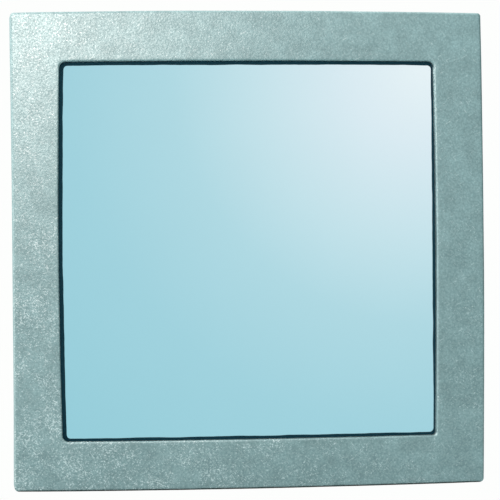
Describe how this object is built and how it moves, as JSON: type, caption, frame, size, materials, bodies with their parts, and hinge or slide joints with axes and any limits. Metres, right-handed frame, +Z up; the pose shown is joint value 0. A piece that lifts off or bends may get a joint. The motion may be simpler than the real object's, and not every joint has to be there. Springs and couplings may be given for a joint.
{
  "type": "wall mirror",
  "caption": "Square wall mirror in a sand-cast aluminium frame with a rounded lip, a board held by turn buttons behind it, and swinging rings to hang it by.",
  "frame": {"origin": "middle of the wall plane that the four rubber bumpers touch", "axes": "+Y into the wall, so the mirror faces -Y; +X to the viewer's right; +Z up"},
  "size_m": [0.3012, 0.022, 0.3027],
  "materials": {
    "cast_aluminium": "raw sand casting, fettled, satin",
    "glass": "clear float glass, ground edges",
    "silvering": "silver film with backing paint",
    "foam": "white closed-cell foam sheet",
    "hardboard": "brown hardboard, smooth face out",
    "black_rubber": "matt black sheet rubber",
    "zinc_plated_steel": "bright zinc plate",
    "bright_wire": "zinc-plated bent wire",
    "bumper_rubber": "dark rubber"
  },
  "bodies": {
    "mirror": {"frame": "cast_aluminium", "mirror_glass": "glass", "silvering": "silvering", "foam_pad": "foam", "backing_board": "hardboard", "turn_button_washers": "zinc_plated_steel", "turn_button_screws": "zinc_plated_steel", "hanger_screws": "zinc_plated_steel", "glazing_gasket": "black_rubber", "setting_blocks": "bumper_rubber", "hanger_strap_left": "zinc_plated_steel", "hanger_strap_right": "zinc_plated_steel", "bumper_top_left": "bumper_rubber", "bumper_top_right": "bumper_rubber", "bumper_bottom_right": "bumper_rubber", "bumper_bottom_left": "bumper_rubber"},
    "turn_button_top_left": {"turn_button_top_left": "zinc_plated_steel"},
    "turn_button_top_right": {"turn_button_top_right": "zinc_plated_steel"},
    "turn_button_bottom_left": {"turn_button_bottom_left": "zinc_plated_steel"},
    "turn_button_bottom_right": {"turn_button_bottom_right": "zinc_plated_steel"},
    "turn_button_left_upper": {"turn_button_left_upper": "zinc_plated_steel"},
    "turn_button_left_lower": {"turn_button_left_lower": "zinc_plated_steel"},
    "turn_button_right_upper": {"turn_button_right_upper": "zinc_plated_steel"},
    "turn_button_right_lower": {"turn_button_right_lower": "zinc_plated_steel"},
    "hanger_ring_left": {"hanger_ring_left": "bright_wire"},
    "hanger_ring_right": {"hanger_ring_right": "bright_wire"}
  },
  "joints": [
    {"name": "turn_top_left", "type": "hinge", "parent": "mirror", "child": "turn_button_top_left", "pos_m": [-0.0503, -0.00625, 0.135], "axis": [0, 1, 0], "range_deg": [-115, 115]},
    {"name": "turn_top_right", "type": "hinge", "parent": "mirror", "child": "turn_button_top_right", "pos_m": [0.0503, -0.00625, 0.135], "axis": [0, 1, 0], "range_deg": [-115, 115]},
    {"name": "turn_bottom_left", "type": "hinge", "parent": "mirror", "child": "turn_button_bottom_left", "pos_m": [-0.0503, -0.00625, -0.135], "axis": [0, 1, 0], "range_deg": [-115, 115]},
    {"name": "turn_bottom_right", "type": "hinge", "parent": "mirror", "child": "turn_button_bottom_right", "pos_m": [0.0503, -0.00625, -0.135], "axis": [0, 1, 0], "range_deg": [-115, 115]},
    {"name": "turn_left_upper", "type": "hinge", "parent": "mirror", "child": "turn_button_left_upper", "pos_m": [-0.135, -0.00625, 0.0503], "axis": [0, 1, 0], "range_deg": [-115, 115]},
    {"name": "turn_left_lower", "type": "hinge", "parent": "mirror", "child": "turn_button_left_lower", "pos_m": [-0.135, -0.00625, -0.0503], "axis": [0, 1, 0], "range_deg": [-115, 115]},
    {"name": "turn_right_upper", "type": "hinge", "parent": "mirror", "child": "turn_button_right_upper", "pos_m": [0.135, -0.00625, 0.0503], "axis": [0, 1, 0], "range_deg": [-115, 115]},
    {"name": "turn_right_lower", "type": "hinge", "parent": "mirror", "child": "turn_button_right_lower", "pos_m": [0.135, -0.00625, -0.0503], "axis": [0, 1, 0], "range_deg": [-115, 115]},
    {"name": "ring_swing_left", "type": "hinge", "parent": "mirror", "child": "hanger_ring_left", "pos_m": [-0.136, -0.0042, 0.1103], "axis": [1, 0, 0], "range_deg": [0, 180]},
    {"name": "ring_swing_right", "type": "hinge", "parent": "mirror", "child": "hanger_ring_right", "pos_m": [0.136, -0.0042, 0.1103], "axis": [1, 0, 0], "range_deg": [0, 180]}
  ]
}
